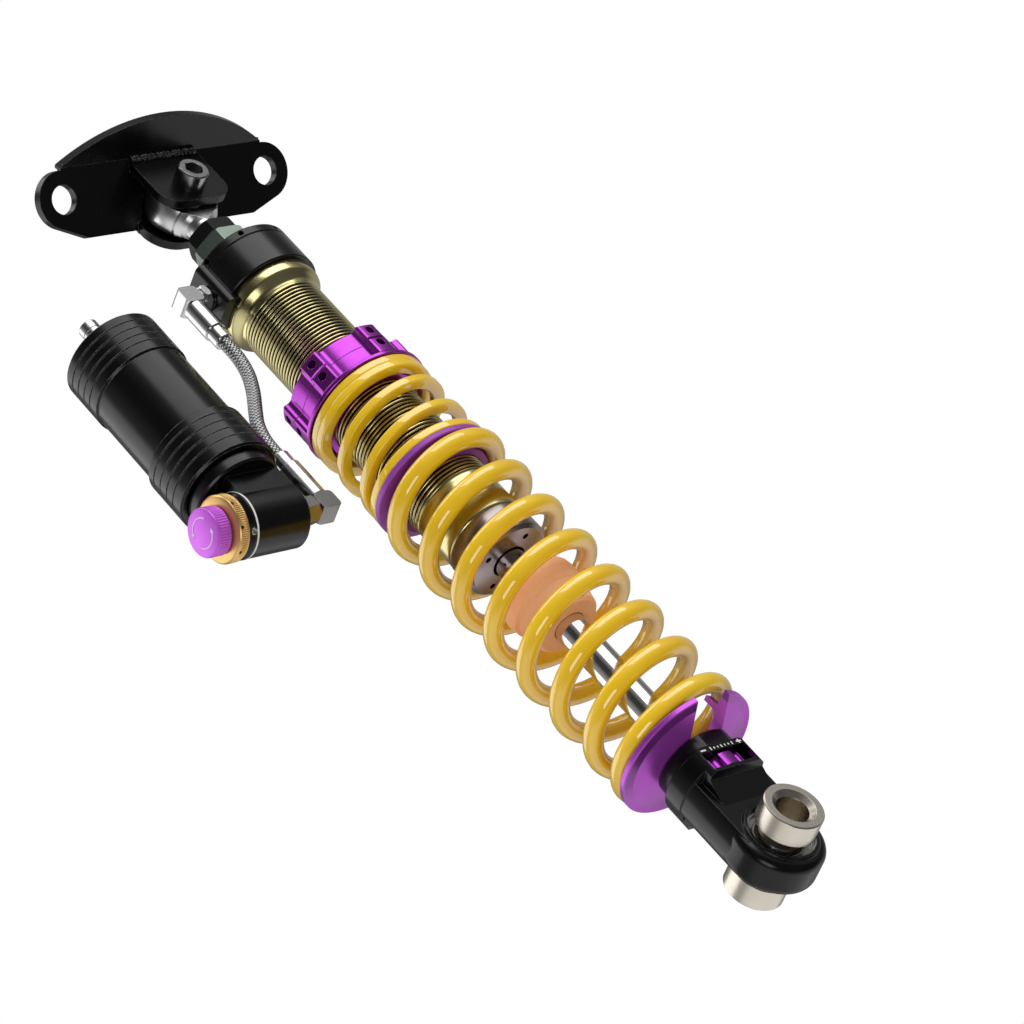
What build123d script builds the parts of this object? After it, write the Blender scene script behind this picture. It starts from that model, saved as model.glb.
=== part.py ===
from build123d import *
import math
import os

# Coilover damper with a remote reservoir.
# Frame: origin at the centre of the lower eye, +Z up the strut axis to the top bracket,
# bolts and eyes along Y, front at -Y, reservoir on the -X side. Millimetres.

# Driving dimensions of the strut.
BOLT_Z = 539.5            # centre of the upper rod end
ROD_R = 9.0               # piston rod, 18 mm
THREAD_R = 25.0           # threaded body, 50 mm
BORE_R = 20.0             # damper bore, 40 mm
SPRING_R = 41.0           # outside of the main spring
WIRE_R = 5.5              # main spring wire, 11 mm
SLIDE_GAP = 0.3           # radial gap between rings and the body
PIVOT_GAP = 0.08          # radial gap in bores that turn or slide

# Heights along the strut.
WHEEL_BOTTOM, WHEEL_TOP = 42.0, 53.0
NECK_TOP = 66.0
SEAT_Z = 74.5             # lower seat of the main spring
SLOT_ANGLE = -90.0        # direction of the open slot in the lower spring plate
STOP_BOTTOM, STOP_TOP = 172.0, 207.0
GUIDE_BOTTOM, GUIDE_TOP = 225.0, 262.0
GUIDE_HOLES = (-75, 15, 105, 195)
THREAD_BOTTOM, THREAD_TOP = 273.0, 437.0
SPACER_BOTTOM, SPACER_TOP = 290.5, 294.0
MAIN_START, HELPER_START = -130.0, 60.0    # angle of the lower end of each spring
PERCH_BOTTOM, PERCH_FLANGE, PERCH_TOP = 355.5, 357.5, 369.4
LOCK_BOTTOM, LOCK_TOP = 369.7, 380.5
TOOTH_ANGLE = -148.0      # direction of the first tooth of the perch and the lock ring
COLLAR_TOP = 450.9
CAP_TOP = 480.7
HUB_TOP = 500.5
NUT_TOP = 510.5

# Lower eye and its spherical bearing.
EYE_R, EYE_HALF, EYE_BOSS_HALF = 25.8, 10.5, 12.0
SHANK_R, COLLAR_R, NECK_R = 25.0, 25.6, 21.9
COLLAR_BOTTOM, COLLAR_FLAT_Y, PAD_BOTTOM = 43.0, 20.5, 39.0
RACE_R, RACE_HALF = 18.6, 7.5
LOWER_BALL_R, LOWER_BALL_HALF = 15.0, 9.5
LINER_WALL = 0.8
SLEEVE_R, SLEEVE_END, SLEEVE_STEP = 16.4, 28.95, 15.0
SLEEVE_BORE_R = 9.0

# Upper rod end, clevis and bolt.
HEAD_R, HEAD_HALF = 20.8, 8.2
UPPER_BALL_R, UPPER_BALL_HALF = 13.0, 9.0
SHANK_END_R = 8.0
EAR_IN, EAR_OUT = 10.5, 15.5
EAR_HALF_X, FRONT_EAR_BOTTOM, REAR_EAR_BOTTOM = 24.0, 525.5, 520.5
ARCH_R, ARCH_BORE_R = 24.5, 21.5
BOLT_R, BOLT_HEAD_R, BOLT_HEAD_Y = 6.0, 9.1, -26.5

# Bracket plate: a bent plate whose lower leaf leans back from the vertical.
PLATE_T = 5.0
PLATE_LEAN, FLANGE_LEAN = 42.0, 10.0
PLATE_ORIGIN = (0, -3.0, 555.4)
HOLE_X, HOLE_R, PLATE_END_R = 71.5, 8.3, 16.5
PLATE_LOW, PLATE_BEND = -22.9, 17.5
PLATE_LOW_HALF, BEND_HALF, FLANGE_DEPTH = 58.0, 71.0, 24.0

# Remote reservoir and its valve head.
RES_X = -122.0
RES_TOP, RES_BOTTOM = 430.6, 318.0
RES_BORE_R, RES_WAIST_R, RES_UPPER_R, RES_LOWER_R = 24.0, 27.7, 28.8, 29.9
GAS_VALVE_R, GAS_VALVE_HEIGHT = 7.3, 27.0
VALVE_Z = 290.5
HEAD_LEFT, HEAD_RIGHT, HEAD_BLOCK_R = -141.0, -100.0, 17.8
ELBOW_SIZE = 12.2
UPPER_ELBOW, LOWER_ELBOW = (-49.5, 461.1), (-78.5, 290.5)

# Bleed screw in the dial boss.
BLEED_X, BLEED_R, BLEED_TURN = -139.0, 1.9, 148.0

# Braided hose: the points of its route, chosen by hand.
HOSE_R = 4.0
HOSE_ROUTE = [
    (-49.5, 0, 425), (-49.5, 0, 411), (-52.7, 0, 397), (-59.4, 0, 383),
    (-67.6, 0, 370), (-74.8, 0, 358), (-78.5, 0, 344.5), (-78.5, 0, 332),
]


def turned(*profile):
    """Solid of revolution about Z, from its (radius, height) corners."""
    outline = Polyline(*[(r, 0, z) for r, z in profile], close=True)
    return revolve(make_face(outline), Axis.Z)


def ring(outer, inner, bottom, top, edge=0.5):
    """Ring about Z with its two outer edges chamfered."""
    return turned((inner, bottom), (outer - edge, bottom), (outer, bottom + edge),
                  (outer, top - edge), (outer - edge, top), (inner, top))


def grooved(outer, inner, bottom, top, grooves, edge=1.2, depth=0.5, width=0.9):
    """Ring about Z with shallow turned grooves at the given heights."""
    shape = ring(outer, inner, bottom, top, edge)
    for height in grooves:
        shape -= ring(outer + 5, outer - depth, height - width / 2, height + width / 2, 0.1)
    return shape


def hexagon(flats, bottom, top, bore=0.0):
    """Hexagonal prism about Z, by its width across flats, with chamfered corners."""
    prism = Pos(0, 0, bottom) * extrude(RegularPolygon(flats / math.sqrt(3), 6), top - bottom)
    prism &= ring(flats / math.sqrt(3), 0, bottom, top, 1.2)
    if bore:
        prism -= Pos(0, 0, (bottom + top) / 2) * Cylinder(bore, top - bottom + 2)
    return prism


def along_y(shape, z=0.0):
    """Turn a shape made about Z so that its axis is +Y, at height z."""
    return Pos(0, 0, z) * Rot(-90, 0, 0) * shape


def along_x(shape, z=0.0):
    """Turn a shape made about Z so that its axis is +X, at height z."""
    return Pos(0, 0, z) * Rot(0, 90, 0) * shape


def around(angle, radius, shape):
    """Place a shape made along +X from the axis at an angle round Z."""
    return Rot(0, 0, angle) * Pos(radius, 0, 0) * shape


# ---- lower eye, its bearing and the rebound adjuster ----

def lower_eye():
    disc = Cylinder(EYE_R, 2 * EYE_HALF)
    eye = along_y(fillet(disc.edges().filter_by(GeomType.CIRCLE), 5))
    eye += along_y(ring(RACE_R + 2.4, 0, -EYE_BOSS_HALF, EYE_BOSS_HALF, 0.8))
    shank = Pos(0, 0, COLLAR_BOTTOM / 2 + 0.5) * Cylinder(SHANK_R, COLLAR_BOTTOM + 1)
    eye += shank & Pos(0, 0, 21) * Box(60, 2 * EYE_HALF, 60)
    collar = ring(COLLAR_R, 0, COLLAR_BOTTOM, 57, 1.2) + ring(NECK_R, 0, 56, NECK_TOP, 1)
    for side in (-1, 1):
        collar -= Pos(0, side * (COLLAR_FLAT_Y + 10), 50) * Box(60, 20, 40)
    half = [(0, 56), (-COLLAR_FLAT_Y, 56), (-COLLAR_FLAT_Y, PAD_BOTTOM + 1), (5 - COLLAR_FLAT_Y, PAD_BOTTOM),
            (-EYE_HALF, 25), (0, 25)]
    outline = Polyline(*[(0, y, z) for y, z in half], *[(0, -y, z) for y, z in half[-2:0:-1]], close=True)
    pad = Pos(-18.5, 0, 0) * extrude(make_face(outline), 37, dir=(1, 0, 0))
    eye += collar + (pad & Pos(0, 0, 45) * Cylinder(COLLAR_R, 60))
    window_z = (WHEEL_BOTTOM + WHEEL_TOP) / 2
    eye -= Pos(0, 0, window_z) * Cylinder(19.8, WHEEL_TOP - WHEEL_BOTTOM)
    eye -= Pos(0, 0, window_z) * Box(31, 60, WHEEL_TOP - WHEEL_BOTTOM)
    eye -= Pos(0, 0, 60) * Cylinder(8, 20)
    eye -= Pos(0, 0, 40) * Cylinder(4.2, 12)
    eye -= along_y(Cylinder(RACE_R, 40))
    for side in (-1, 1):
        eye -= along_y(Pos(0, 0, side * 8.5) * Cylinder(RACE_R + 1, 1.6))
    return eye


def ball(radius, half, bore):
    body = Sphere(radius) & Cylinder(radius + 1, 2 * half)
    return along_y(body - Cylinder(bore, 3 * half))


def liner(ball_radius, half):
    shell = Sphere(ball_radius + PIVOT_GAP + LINER_WALL) - Sphere(ball_radius + PIVOT_GAP)
    return along_y(shell & Cylinder(ball_radius + 5, 2 * half))


def socket_radius(ball_radius):
    return ball_radius + LINER_WALL + 2 * PIVOT_GAP


def lower_race():
    return along_y(ring(RACE_R, 0, -RACE_HALF, RACE_HALF, 0.5) - Sphere(socket_radius(LOWER_BALL_R)))


def lower_circlips():
    clip = ring(RACE_R + 0.9, RACE_R - 1.8, 7.8, 9.2, 0.2) - Pos(0, 20, 8.5) * Box(7, 12, 4)
    front = along_y(Rot(180, 0, 0) * clip)
    return Compound(children=[front.solid(), along_y(clip).solid()])


def lower_sleeve(side):
    sleeve = turned((SLEEVE_BORE_R, 0.05), (10.4, 0.05), (10.4, LOWER_BALL_HALF), (12.0, LOWER_BALL_HALF),
                    (12.4, SLEEVE_STEP), (SLEEVE_R - 1, SLEEVE_STEP), (SLEEVE_R, SLEEVE_STEP + 1),
                    (SLEEVE_R, SLEEVE_END - 0.6), (SLEEVE_R - 0.6, SLEEVE_END), (11.9, SLEEVE_END),
                    (SLEEVE_BORE_R, SLEEVE_END - 2.6))
    return along_y(sleeve if side > 0 else Rot(180, 0, 0) * sleeve)


def rebound_wheel():
    wheel = ring(19.2, 4 + PIVOT_GAP, WHEEL_BOTTOM + 0.4, WHEEL_TOP - 0.4, 1)
    middle = (WHEEL_BOTTOM + WHEEL_TOP) / 2
    for step in range(8):
        wheel -= around(45 * step + 22.5, 19.5, Pos(0, 0, middle) * Cylinder(3.2, WHEEL_TOP - WHEEL_BOTTOM))
    return wheel


# ---- rod, piston and what rides on the rod ----

def piston_rod():
    return turned((0, 36), (4, 36), (4, 53), (7.8, 53), (7.8, NECK_TOP), (ROD_R, NECK_TOP),
                  (ROD_R, 268), (6, 268), (6, 297), (5.4, 298), (0, 298))


def piston():
    return ring(BORE_R - 1, 6, 270, 285, 0.5) - ring(BORE_R + 4, BORE_R - 2.5, 274, 281, 0.1)


def piston_band():
    return ring(BORE_R - PIVOT_GAP, BORE_R - 2.5, 274, 281, 0.2)


def shim_stack():
    lower = [ring(14 - step, 6, 268 + 0.5 * step, 268.5 + 0.5 * step, 0.05) for step in range(4)]
    upper = [ring(17 - 1.5 * step, 6, 285 + 0.5 * step, 285.5 + 0.5 * step, 0.05) for step in range(5)]
    stack = lower[0]
    for shim in lower[1:] + upper:
        stack = stack + shim
    return Compound(children=list(stack.solids()))


def lower_spring_plate():
    plate = turned((ROD_R + 0.5, NECK_TOP), (NECK_R, NECK_TOP), (39.9, 71), (40.4, 71.5), (40.4, SEAT_Z - 0.4),
                   (40.0, SEAT_Z), (29.6, SEAT_Z), (29.6, SEAT_Z + 8), (29, SEAT_Z + 9), (26, SEAT_Z + 9),
                   (26, SEAT_Z - 1), (ROD_R + 0.5, SEAT_Z - 1))
    slot = Pos(22, 0, SEAT_Z) * Box(44, 2 * ROD_R + 4, 40)
    return plate - Rot(0, 0, SLOT_ANGLE) * slot


def bump_stop():
    bore = ROD_R + SLIDE_GAP
    return turned((bore, STOP_BOTTOM), (17.5, STOP_BOTTOM), (19.3, 174), (20.5, 180), (20.8, 187),
                  (22.4, 189), (23.2, 196), (22.6, 201), (20.5, 205.5), (18, STOP_TOP), (bore, STOP_TOP))


# ---- damper body ----

def body_tube():
    tube = turned((BORE_R, 244), (23, 244), (24.2, 246), (24.2, THREAD_BOTTOM - 1), (THREAD_R, THREAD_BOTTOM),
                  (THREAD_R, THREAD_TOP), (25.6, 439), (29.2, 443), (29.7, 444), (29.7, COLLAR_TOP),
                  (BORE_R, COLLAR_TOP))
    return tube


def guide_cap():
    cap = turned((ROD_R + 1.1, GUIDE_BOTTOM), (22.6, GUIDE_BOTTOM), (24.6, 227), (24.6, 243.7), (BORE_R, 243.7),
                 (BORE_R - 0.05, GUIDE_TOP), (12, GUIDE_TOP), (12, 232), (ROD_R + 1.1, 232))
    for angle in GUIDE_HOLES:
        cap -= around(angle, 17, Pos(0, 0, GUIDE_BOTTOM) * Cylinder(1.8, 8))
    return cap


def top_cap():
    cap = turned((0, 454), (BORE_R - 0.1, 454), (BORE_R - 0.1, COLLAR_TOP), (31.6, COLLAR_TOP),
                 (32.1, 451.5), (32.1, 473), (31.4, 473.4), (31.4, 474), (32.1, 474.4), (32.1, 479),
                 (30.4, CAP_TOP), (17, CAP_TOP), (15, 484), (0, 484))
    boss = Pos(-27, 0, 461.5) * Box(18, 22, 31)
    cap += fillet(boss.edges().filter_by(Axis.Z), 4) - Pos(0, 0, 440) * Cylinder(30, 2 * (COLLAR_TOP - 440))
    cap -= Pos(0, 0, 482) * Cylinder(SHANK_END_R, 44)
    for step in range(8):
        cap -= around(45 * step + 22.5, 31, Pos(0, 0, 477) * Rot(0, 90, 0) * Cylinder(1.7, 8))
    cap -= Pos(-36, 0, UPPER_ELBOW[1]) * Rot(0, 90, 0) * Cylinder(4, 20)
    return cap


def castellated(bottom, top, hole_z):
    """Threaded ring with six rounded teeth, each with a round hole for the spanner's pin."""
    tooth_r, valley_r, tooth_width = 38.3, 33.2, 12.6
    outline = Rot(0, 0, TOOTH_ANGLE) * Circle(valley_r)
    for step in range(6):
        outline += Rot(0, 0, TOOTH_ANGLE + 60 * step) * Pos(valley_r, 0) * Rectangle(12, tooth_width)
    outline &= Circle(tooth_r)
    roots = [point for point in outline.vertices() if math.hypot(point.X, point.Y) < valley_r + 0.5]
    outline = fillet(roots, 3.5)
    tips = [point for point in outline.vertices() if math.hypot(point.X, point.Y) > tooth_r - 0.5]
    outline = fillet(tips, 2.0)
    body = Pos(0, 0, bottom) * extrude(outline, top - bottom) & ring(tooth_r, THREAD_R + SLIDE_GAP, bottom, top, 0.7)
    for step in range(6):
        body -= around(TOOTH_ANGLE + 60 * step, 36, Pos(0, 0, hole_z) * Rot(0, 90, 0) * Cylinder(2.6, 12))
    return body


def perch_nut():
    nut = castellated(PERCH_FLANGE, PERCH_TOP, 365.4)
    nut += ring(38.3, THREAD_R + SLIDE_GAP, PERCH_BOTTOM, PERCH_FLANGE + 0.5, 0.4)
    return nut + ring(29.4, THREAD_R + SLIDE_GAP, 348.5, PERCH_BOTTOM + 1, 0.8)


def spring_spacer():
    spacer = ring(37.8, THREAD_R + SLIDE_GAP, SPACER_BOTTOM, SPACER_TOP, 0.5)
    return spacer + ring(29.4, THREAD_R + SLIDE_GAP, SPACER_BOTTOM - 7, SPACER_TOP + 5, 0.8)


# ---- springs ----

def coil(section, radius, bottom, top, turns):
    """Sweep a section that stands at (radius, 0) round a helix from one height to another."""
    path = Pos(0, 0, bottom) * Helix(pitch=(top - bottom) / turns, height=top - bottom, radius=radius)
    start = Plane(origin=path @ 0, x_dir=(1, 0, 0), z_dir=path % 0)
    return sweep(start * section, path=path, is_frenet=True)


def main_spring():
    gap = WIRE_R + 0.15
    wire = coil(Circle(WIRE_R), SPRING_R - WIRE_R, SEAT_Z + gap, SPACER_BOTTOM - gap, 7)
    return Rot(0, 0, MAIN_START) * wire


def helper_spring():
    wide, high = 7.2, 5.0
    gap = high / 2 + 0.25
    wire = coil(Rectangle(wide, high), 37.6 - wide / 2, SPACER_TOP + gap, PERCH_BOTTOM - gap, 4)
    return Rot(0, 0, HELPER_START) * wire


# ---- upper rod end, clevis and bracket ----

def rod_end():
    head = along_y(Sphere(HEAD_R) & Cylinder(HEAD_R + 1, 2 * HEAD_HALF), BOLT_Z)
    thread_r = SHANK_END_R - 0.05
    neck = turned((0, 462), (thread_r, 462), (thread_r, 514.5), (8.3, 517), (9.4, 519.5), (11.6, 522),
                  (14.6, 524), (16.5, 528), (0, 528))
    head += neck & Pos(0, 0, 495) * Box(40, 2 * HEAD_HALF, 80)
    return head - along_y(Sphere(socket_radius(UPPER_BALL_R)), BOLT_Z)


def upper_bushes():
    bush = turned((BOLT_R, 0.05), (6.9, 0.05), (6.9, UPPER_BALL_HALF), (9.0, UPPER_BALL_HALF),
                  (10.0, EAR_IN), (BOLT_R, EAR_IN))
    front = along_y(Rot(180, 0, 0) * bush, BOLT_Z)
    return Compound(children=[front.solid(), along_y(bush, BOLT_Z).solid()])


def clevis_bolt():
    bolt = turned((0, BOLT_HEAD_Y), (BOLT_HEAD_R - 0.8, BOLT_HEAD_Y), (BOLT_HEAD_R, BOLT_HEAD_Y + 0.8),
                  (BOLT_HEAD_R, -EAR_OUT), (BOLT_R, -EAR_OUT), (BOLT_R, 22.5), (BOLT_R - 1, 23.5), (0, 23.5))
    socket = Pos(0, 0, BOLT_HEAD_Y) * extrude(RegularPolygon(5.8, 6), 6)
    return along_y(bolt - socket, BOLT_Z)


def clevis_nut():
    return along_y(hexagon(18, EAR_OUT, 21.5, BOLT_R), BOLT_Z)


def plate_plane(lean, origin):
    angle = math.radians(lean)
    return Plane(origin=origin, x_dir=(1, 0, 0), z_dir=(0, -math.sin(angle), -math.cos(angle)))


def ear(near, far, bottom, top, foot_r):
    """Upright clevis ear between two Y planes, rounded at its foot."""
    blank = Pos(0, (near + far) / 2, (bottom + top) / 2) * Box(2 * EAR_HALF_X, abs(far - near), top - bottom)
    foot = blank.edges().filter_by(Axis.Y).group_by(Axis.Z)[0]
    return fillet(foot, foot_r)


def top_bracket():
    leaf_plane = plate_plane(PLATE_LEAN, PLATE_ORIGIN)
    bend_point = (leaf_plane * Pos(0, PLATE_BEND, 0)).position
    flange_plane = plate_plane(FLANGE_LEAN, bend_point)
    knee_plane = plate_plane((PLATE_LEAN + FLANGE_LEAN) / 2, bend_point)
    knee_t = PLATE_T / math.cos(math.radians((PLATE_LEAN - FLANGE_LEAN) / 2))

    # The bent sheet, as one section carried across the whole width.
    low = leaf_plane * Pos(0, PLATE_LOW - 5, 0)
    tip = flange_plane * Pos(0, FLANGE_DEPTH + 5, 0)
    section = make_face(Polyline(
        low.position, bend_point, tip.position, tip.position - flange_plane.z_dir * PLATE_T,
        bend_point - knee_plane.z_dir * knee_t, low.position - leaf_plane.z_dir * PLATE_T, close=True))
    sheet = Pos(-100, 0, 0) * extrude(section, 200, dir=(1, 0, 0))

    # Outlines of the two leaves, each carried a little past the bend.
    ends = [Pos(side * HOLE_X, 0) * Circle(PLATE_END_R) for side in (-1, 1)]
    corners = [Pos(side * PLATE_LOW_HALF, PLATE_LOW + 3) * Circle(3) for side in (-1, 1)]
    outline = make_hull([edge for disc in ends + corners for edge in disc.edges()])
    outline += Pos(0, PLATE_BEND) * Rectangle(2 * BEND_HALF - 3, 4)
    arc_r = (BEND_HALF ** 2 + FLANGE_DEPTH ** 2) / (2 * FLANGE_DEPTH)
    segment = Pos(0, FLANGE_DEPTH - arc_r) * Circle(arc_r) & Pos(0, 50) * Rectangle(300, 100)
    segment += Pos(0, -1) * Rectangle(2 * BEND_HALF - 0.2, 2)
    plate = sheet & (extrude(leaf_plane * outline, 12, both=True) + extrude(flange_plane * segment, 12, both=True))

    for side in (-1, 1):
        plate -= extrude(leaf_plane * Pos(side * HOLE_X, 0) * Circle(HOLE_R), 20, both=True)
    plate -= along_y(Cylinder(ARCH_BORE_R, 2 * EAR_IN), BOLT_Z)
    plate -= along_y(ring(13, 0, EAR_OUT, 40, 0.1), BOLT_Z)

    # The arch behind the leaf that covers the notch over the rod end.
    arch = along_y(Cylinder(ARCH_R, 2 * EAR_OUT) - Cylinder(ARCH_BORE_R, 2 * EAR_IN), BOLT_Z)
    arch &= extrude(leaf_plane * Rectangle(200, 200), -80)
    bracket = plate + arch + ear(EAR_IN, EAR_OUT, REAR_EAR_BOTTOM, 546, 17)
    bracket += ear(-EAR_IN, -EAR_OUT, FRONT_EAR_BOTTOM, 566, 12)
    return bracket - along_y(Cylinder(BOLT_R + 0.2, 80), BOLT_Z)


# ---- reservoir, valve head and hose ----

def reservoir_tube():
    tube = grooved(RES_UPPER_R, RES_BORE_R, 400, RES_TOP, (424, 418.5, 413, 407.5))
    tube += ring(RES_WAIST_R, RES_BORE_R, 345, 402, 0.2)
    tube += grooved(RES_LOWER_R, RES_BORE_R, RES_BOTTOM, 350, (344, 338, 332, 326))
    return Pos(RES_X, 0, 0) * tube


def reservoir_end_cap():
    cap = ring(RES_BORE_R - 0.05, 0, RES_TOP - 18, RES_TOP - 4, 0.6) + ring(9, 0, RES_TOP - 5, RES_TOP - 1, 0.8)
    return Pos(RES_X, 0, 0) * (cap - Pos(0, 0, RES_TOP - 10) * Cylinder(4, 30))


def gas_valve():
    top = RES_TOP + GAS_VALVE_HEIGHT
    valve = turned((0, RES_TOP - 16), (4, RES_TOP - 16), (4, RES_TOP - 1), (GAS_VALVE_R, RES_TOP - 1),
                   (GAS_VALVE_R, top - 0.8), (GAS_VALVE_R - 0.8, top), (0, top))
    return Pos(RES_X, 0, 0) * valve


def floating_piston():
    cup = turned((0, 366), (21, 366), (23.6, 367), (23.6, 371), (21.4, 371), (21.4, 375), (23.6, 375),
                 (23.6, 385), (19, 385), (19, 372), (0, 372))
    return Pos(RES_X, 0, 0) * cup


def piston_o_ring():
    return Pos(RES_X, 0, 0) * ring(RES_BORE_R - PIVOT_GAP, 21.4, 371.1, 374.9, 0.8)


def valve_head():
    block = along_x(ring(HEAD_BLOCK_R, 0, HEAD_LEFT, HEAD_RIGHT, 2.5), VALVE_Z)
    neck = ring(25.5, 0, VALVE_Z, RES_BOTTOM, 1) & Pos((HEAD_LEFT + HEAD_RIGHT) / 2 - RES_X + 2, 0, 300) * Box(36, 34, 60)
    head = block + Pos(RES_X, 0, 0) * (neck + ring(26, 0, RES_BOTTOM - 8, RES_BOTTOM, 1))
    head += Pos(RES_X, 0, 0) * ring(RES_BORE_R - 0.05, 0, RES_BOTTOM - 1, RES_BOTTOM + 12, 0.8)
    spindle = turned((0, HEAD_LEFT + 1), (9.5, HEAD_LEFT + 1), (9.5, -149.4), (4.9, -149.4), (4.9, -155), (0, -155))
    head += along_x(spindle, VALVE_Z)
    head -= bleed_place() * Pos(0, 0, HEAD_BLOCK_R) * Cylinder(BLEED_R, 6)
    return head - along_x(Pos(0, 0, HEAD_RIGHT) * Cylinder(4, 30), VALVE_Z)


def knurled(outer, inner, bottom, top, teeth, depth):
    body = ring(outer, inner, bottom, top, 0.6)
    for step in range(teeth):
        body -= around(360 / teeth * step, outer, Pos(0, 0, (bottom + top) / 2) * Cylinder(depth, top - bottom + 1))
    return body


def bump_ring():
    return along_x(knurled(18.2, 9.5 + PIVOT_GAP, -149.2, -142.0, 36, 0.45), VALVE_Z)


def bump_knob():
    knob = knurled(13.3, 0, -159.2, -150.0, 30, 0.4) - Pos(0, 0, -152.5) * Cylinder(4.9 + PIVOT_GAP, 6)
    return along_x(knob, VALVE_Z)


def bleed_place():
    """Turn that puts a screw made along +Z on the front lower side of the dial boss."""
    return Pos(BLEED_X, 0, VALVE_Z) * Rot(BLEED_TURN, 0, 0)


def bleed_screw():
    socket = Pos(0, 0, HEAD_BLOCK_R - 1.2) * extrude(RegularPolygon(1.1, 6), 3)
    return bleed_place() * (ring(BLEED_R, 0, HEAD_BLOCK_R - 3, HEAD_BLOCK_R - 0.1, 0.2) - socket)


def elbow(x, z):
    block = Pos(x, 0, z) * Box(ELBOW_SIZE, ELBOW_SIZE, ELBOW_SIZE)
    return fillet(block.edges().filter_by(Axis.Y), 2.6)


def union_nut(left, right, z):
    """Hexagonal union along X with a round neck on its outer side."""
    return along_x(hexagon(14, left + 1.5, right - 1.5) + ring(6.2, 0, left, right, 0.3), z)


def hose_end(x, bottom, top, tail_at_top):
    """Crimped ferrule: a plain sleeve with a thinner tail where the hose enters."""
    step = top - 9 if tail_at_top else bottom + 9
    low_r, high_r = (6.3, 5.4) if tail_at_top else (5.4, 6.3)
    return Pos(x, 0, 0) * (ring(low_r, 0, bottom, step, 0.5) + ring(high_r, 0, step, top, 0.5))


def hose():
    points = [Vector(*point) for point in HOSE_ROUTE]
    radii = []
    for before, here, after in zip(points, points[1:], points[2:]):
        turn = math.radians((here - before).get_angle(after - here))
        run = min((here - before).length, (after - here).length)
        radii.append(0.45 * run / math.tan(turn / 2))
    path = FilletPolyline(*points, radius=radii)
    section = Plane(origin=points[0], z_dir=points[1] - points[0]) * Circle(HOSE_R)
    tube = sweep(section, path=path)
    print("hose length %.1f mm, volume ratio %.4f" % (path.length, tube.volume / (path.length * math.pi * HOSE_R ** 2)))
    print("hose bend radii", [round(radius, 1) for radius in radii])
    return tube


PARTS = {
    "lower_eye": lower_eye,
    "lower_race": lower_race,
    "lower_circlips": lower_circlips,
    "lower_liner": lambda: liner(LOWER_BALL_R, RACE_HALF - 0.5),
    "lower_ball": lambda: ball(LOWER_BALL_R, LOWER_BALL_HALF, 10.4),
    "front_sleeve": lambda: lower_sleeve(-1),
    "rear_sleeve": lambda: lower_sleeve(1),
    "rebound_wheel": rebound_wheel,
    "piston_rod": piston_rod,
    "piston": piston,
    "piston_band": piston_band,
    "shim_stack": shim_stack,
    "piston_nut": lambda: hexagon(19, 287.6, 296, 6),
    "lower_spring_plate": lower_spring_plate,
    "main_spring": main_spring,
    "bump_stop": bump_stop,
    "spring_spacer": spring_spacer,
    "helper_spring": helper_spring,
    "perch_nut": perch_nut,
    "lock_ring": lambda: castellated(LOCK_BOTTOM, LOCK_TOP, 375.6),
    "body_tube": body_tube,
    "guide_cap": guide_cap,
    "rod_seal": lambda: ring(12, ROD_R + PIVOT_GAP, 232.1, 238, 0.4),
    "guide_bush": lambda: ring(12, ROD_R + PIVOT_GAP, 238.2, GUIDE_TOP - 1, 0.4),
    "top_cap": top_cap,
    "hub_nut": lambda: hexagon(30, 484, HUB_TOP, SHANK_END_R),
    "jam_nut": lambda: hexagon(27, HUB_TOP, NUT_TOP, SHANK_END_R),
    "rod_end": rod_end,
    "upper_liner": lambda: Pos(0, 0, BOLT_Z) * liner(UPPER_BALL_R, HEAD_HALF - 0.5),
    "upper_ball": lambda: Pos(0, 0, BOLT_Z) * ball(UPPER_BALL_R, UPPER_BALL_HALF, 6.9),
    "upper_bushes": upper_bushes,
    "clevis_bolt": clevis_bolt,
    "clevis_nut": clevis_nut,
    "top_bracket": top_bracket,
    "reservoir_tube": reservoir_tube,
    "reservoir_end_cap": reservoir_end_cap,
    "gas_valve": gas_valve,
    "floating_piston": floating_piston,
    "piston_o_ring": piston_o_ring,
    "valve_head": valve_head,
    "bleed_screw": bleed_screw,
    "bump_ring": bump_ring,
    "bump_knob": bump_knob,
    "upper_union": lambda: union_nut(UPPER_ELBOW[0] + ELBOW_SIZE / 2, -36, UPPER_ELBOW[1]),
    "upper_elbow": lambda: elbow(*UPPER_ELBOW),
    "upper_hose_end": lambda: hose_end(UPPER_ELBOW[0], 425, UPPER_ELBOW[1] - ELBOW_SIZE / 2, False),
    "hose": hose,
    "lower_hose_end": lambda: hose_end(LOWER_ELBOW[0], LOWER_ELBOW[1] + ELBOW_SIZE / 2, 332, True),
    "lower_elbow": lambda: elbow(*LOWER_ELBOW),
    "lower_union": lambda: union_nut(HEAD_RIGHT, LOWER_ELBOW[0] - ELBOW_SIZE / 2, VALVE_Z),
}

os.makedirs("parts", exist_ok=True)
for name, make in PARTS.items():
    export_step(make(), f"parts/{name}.step")
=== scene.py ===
import math

import bmesh
import bpy
from mathutils import Matrix, Vector


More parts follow.
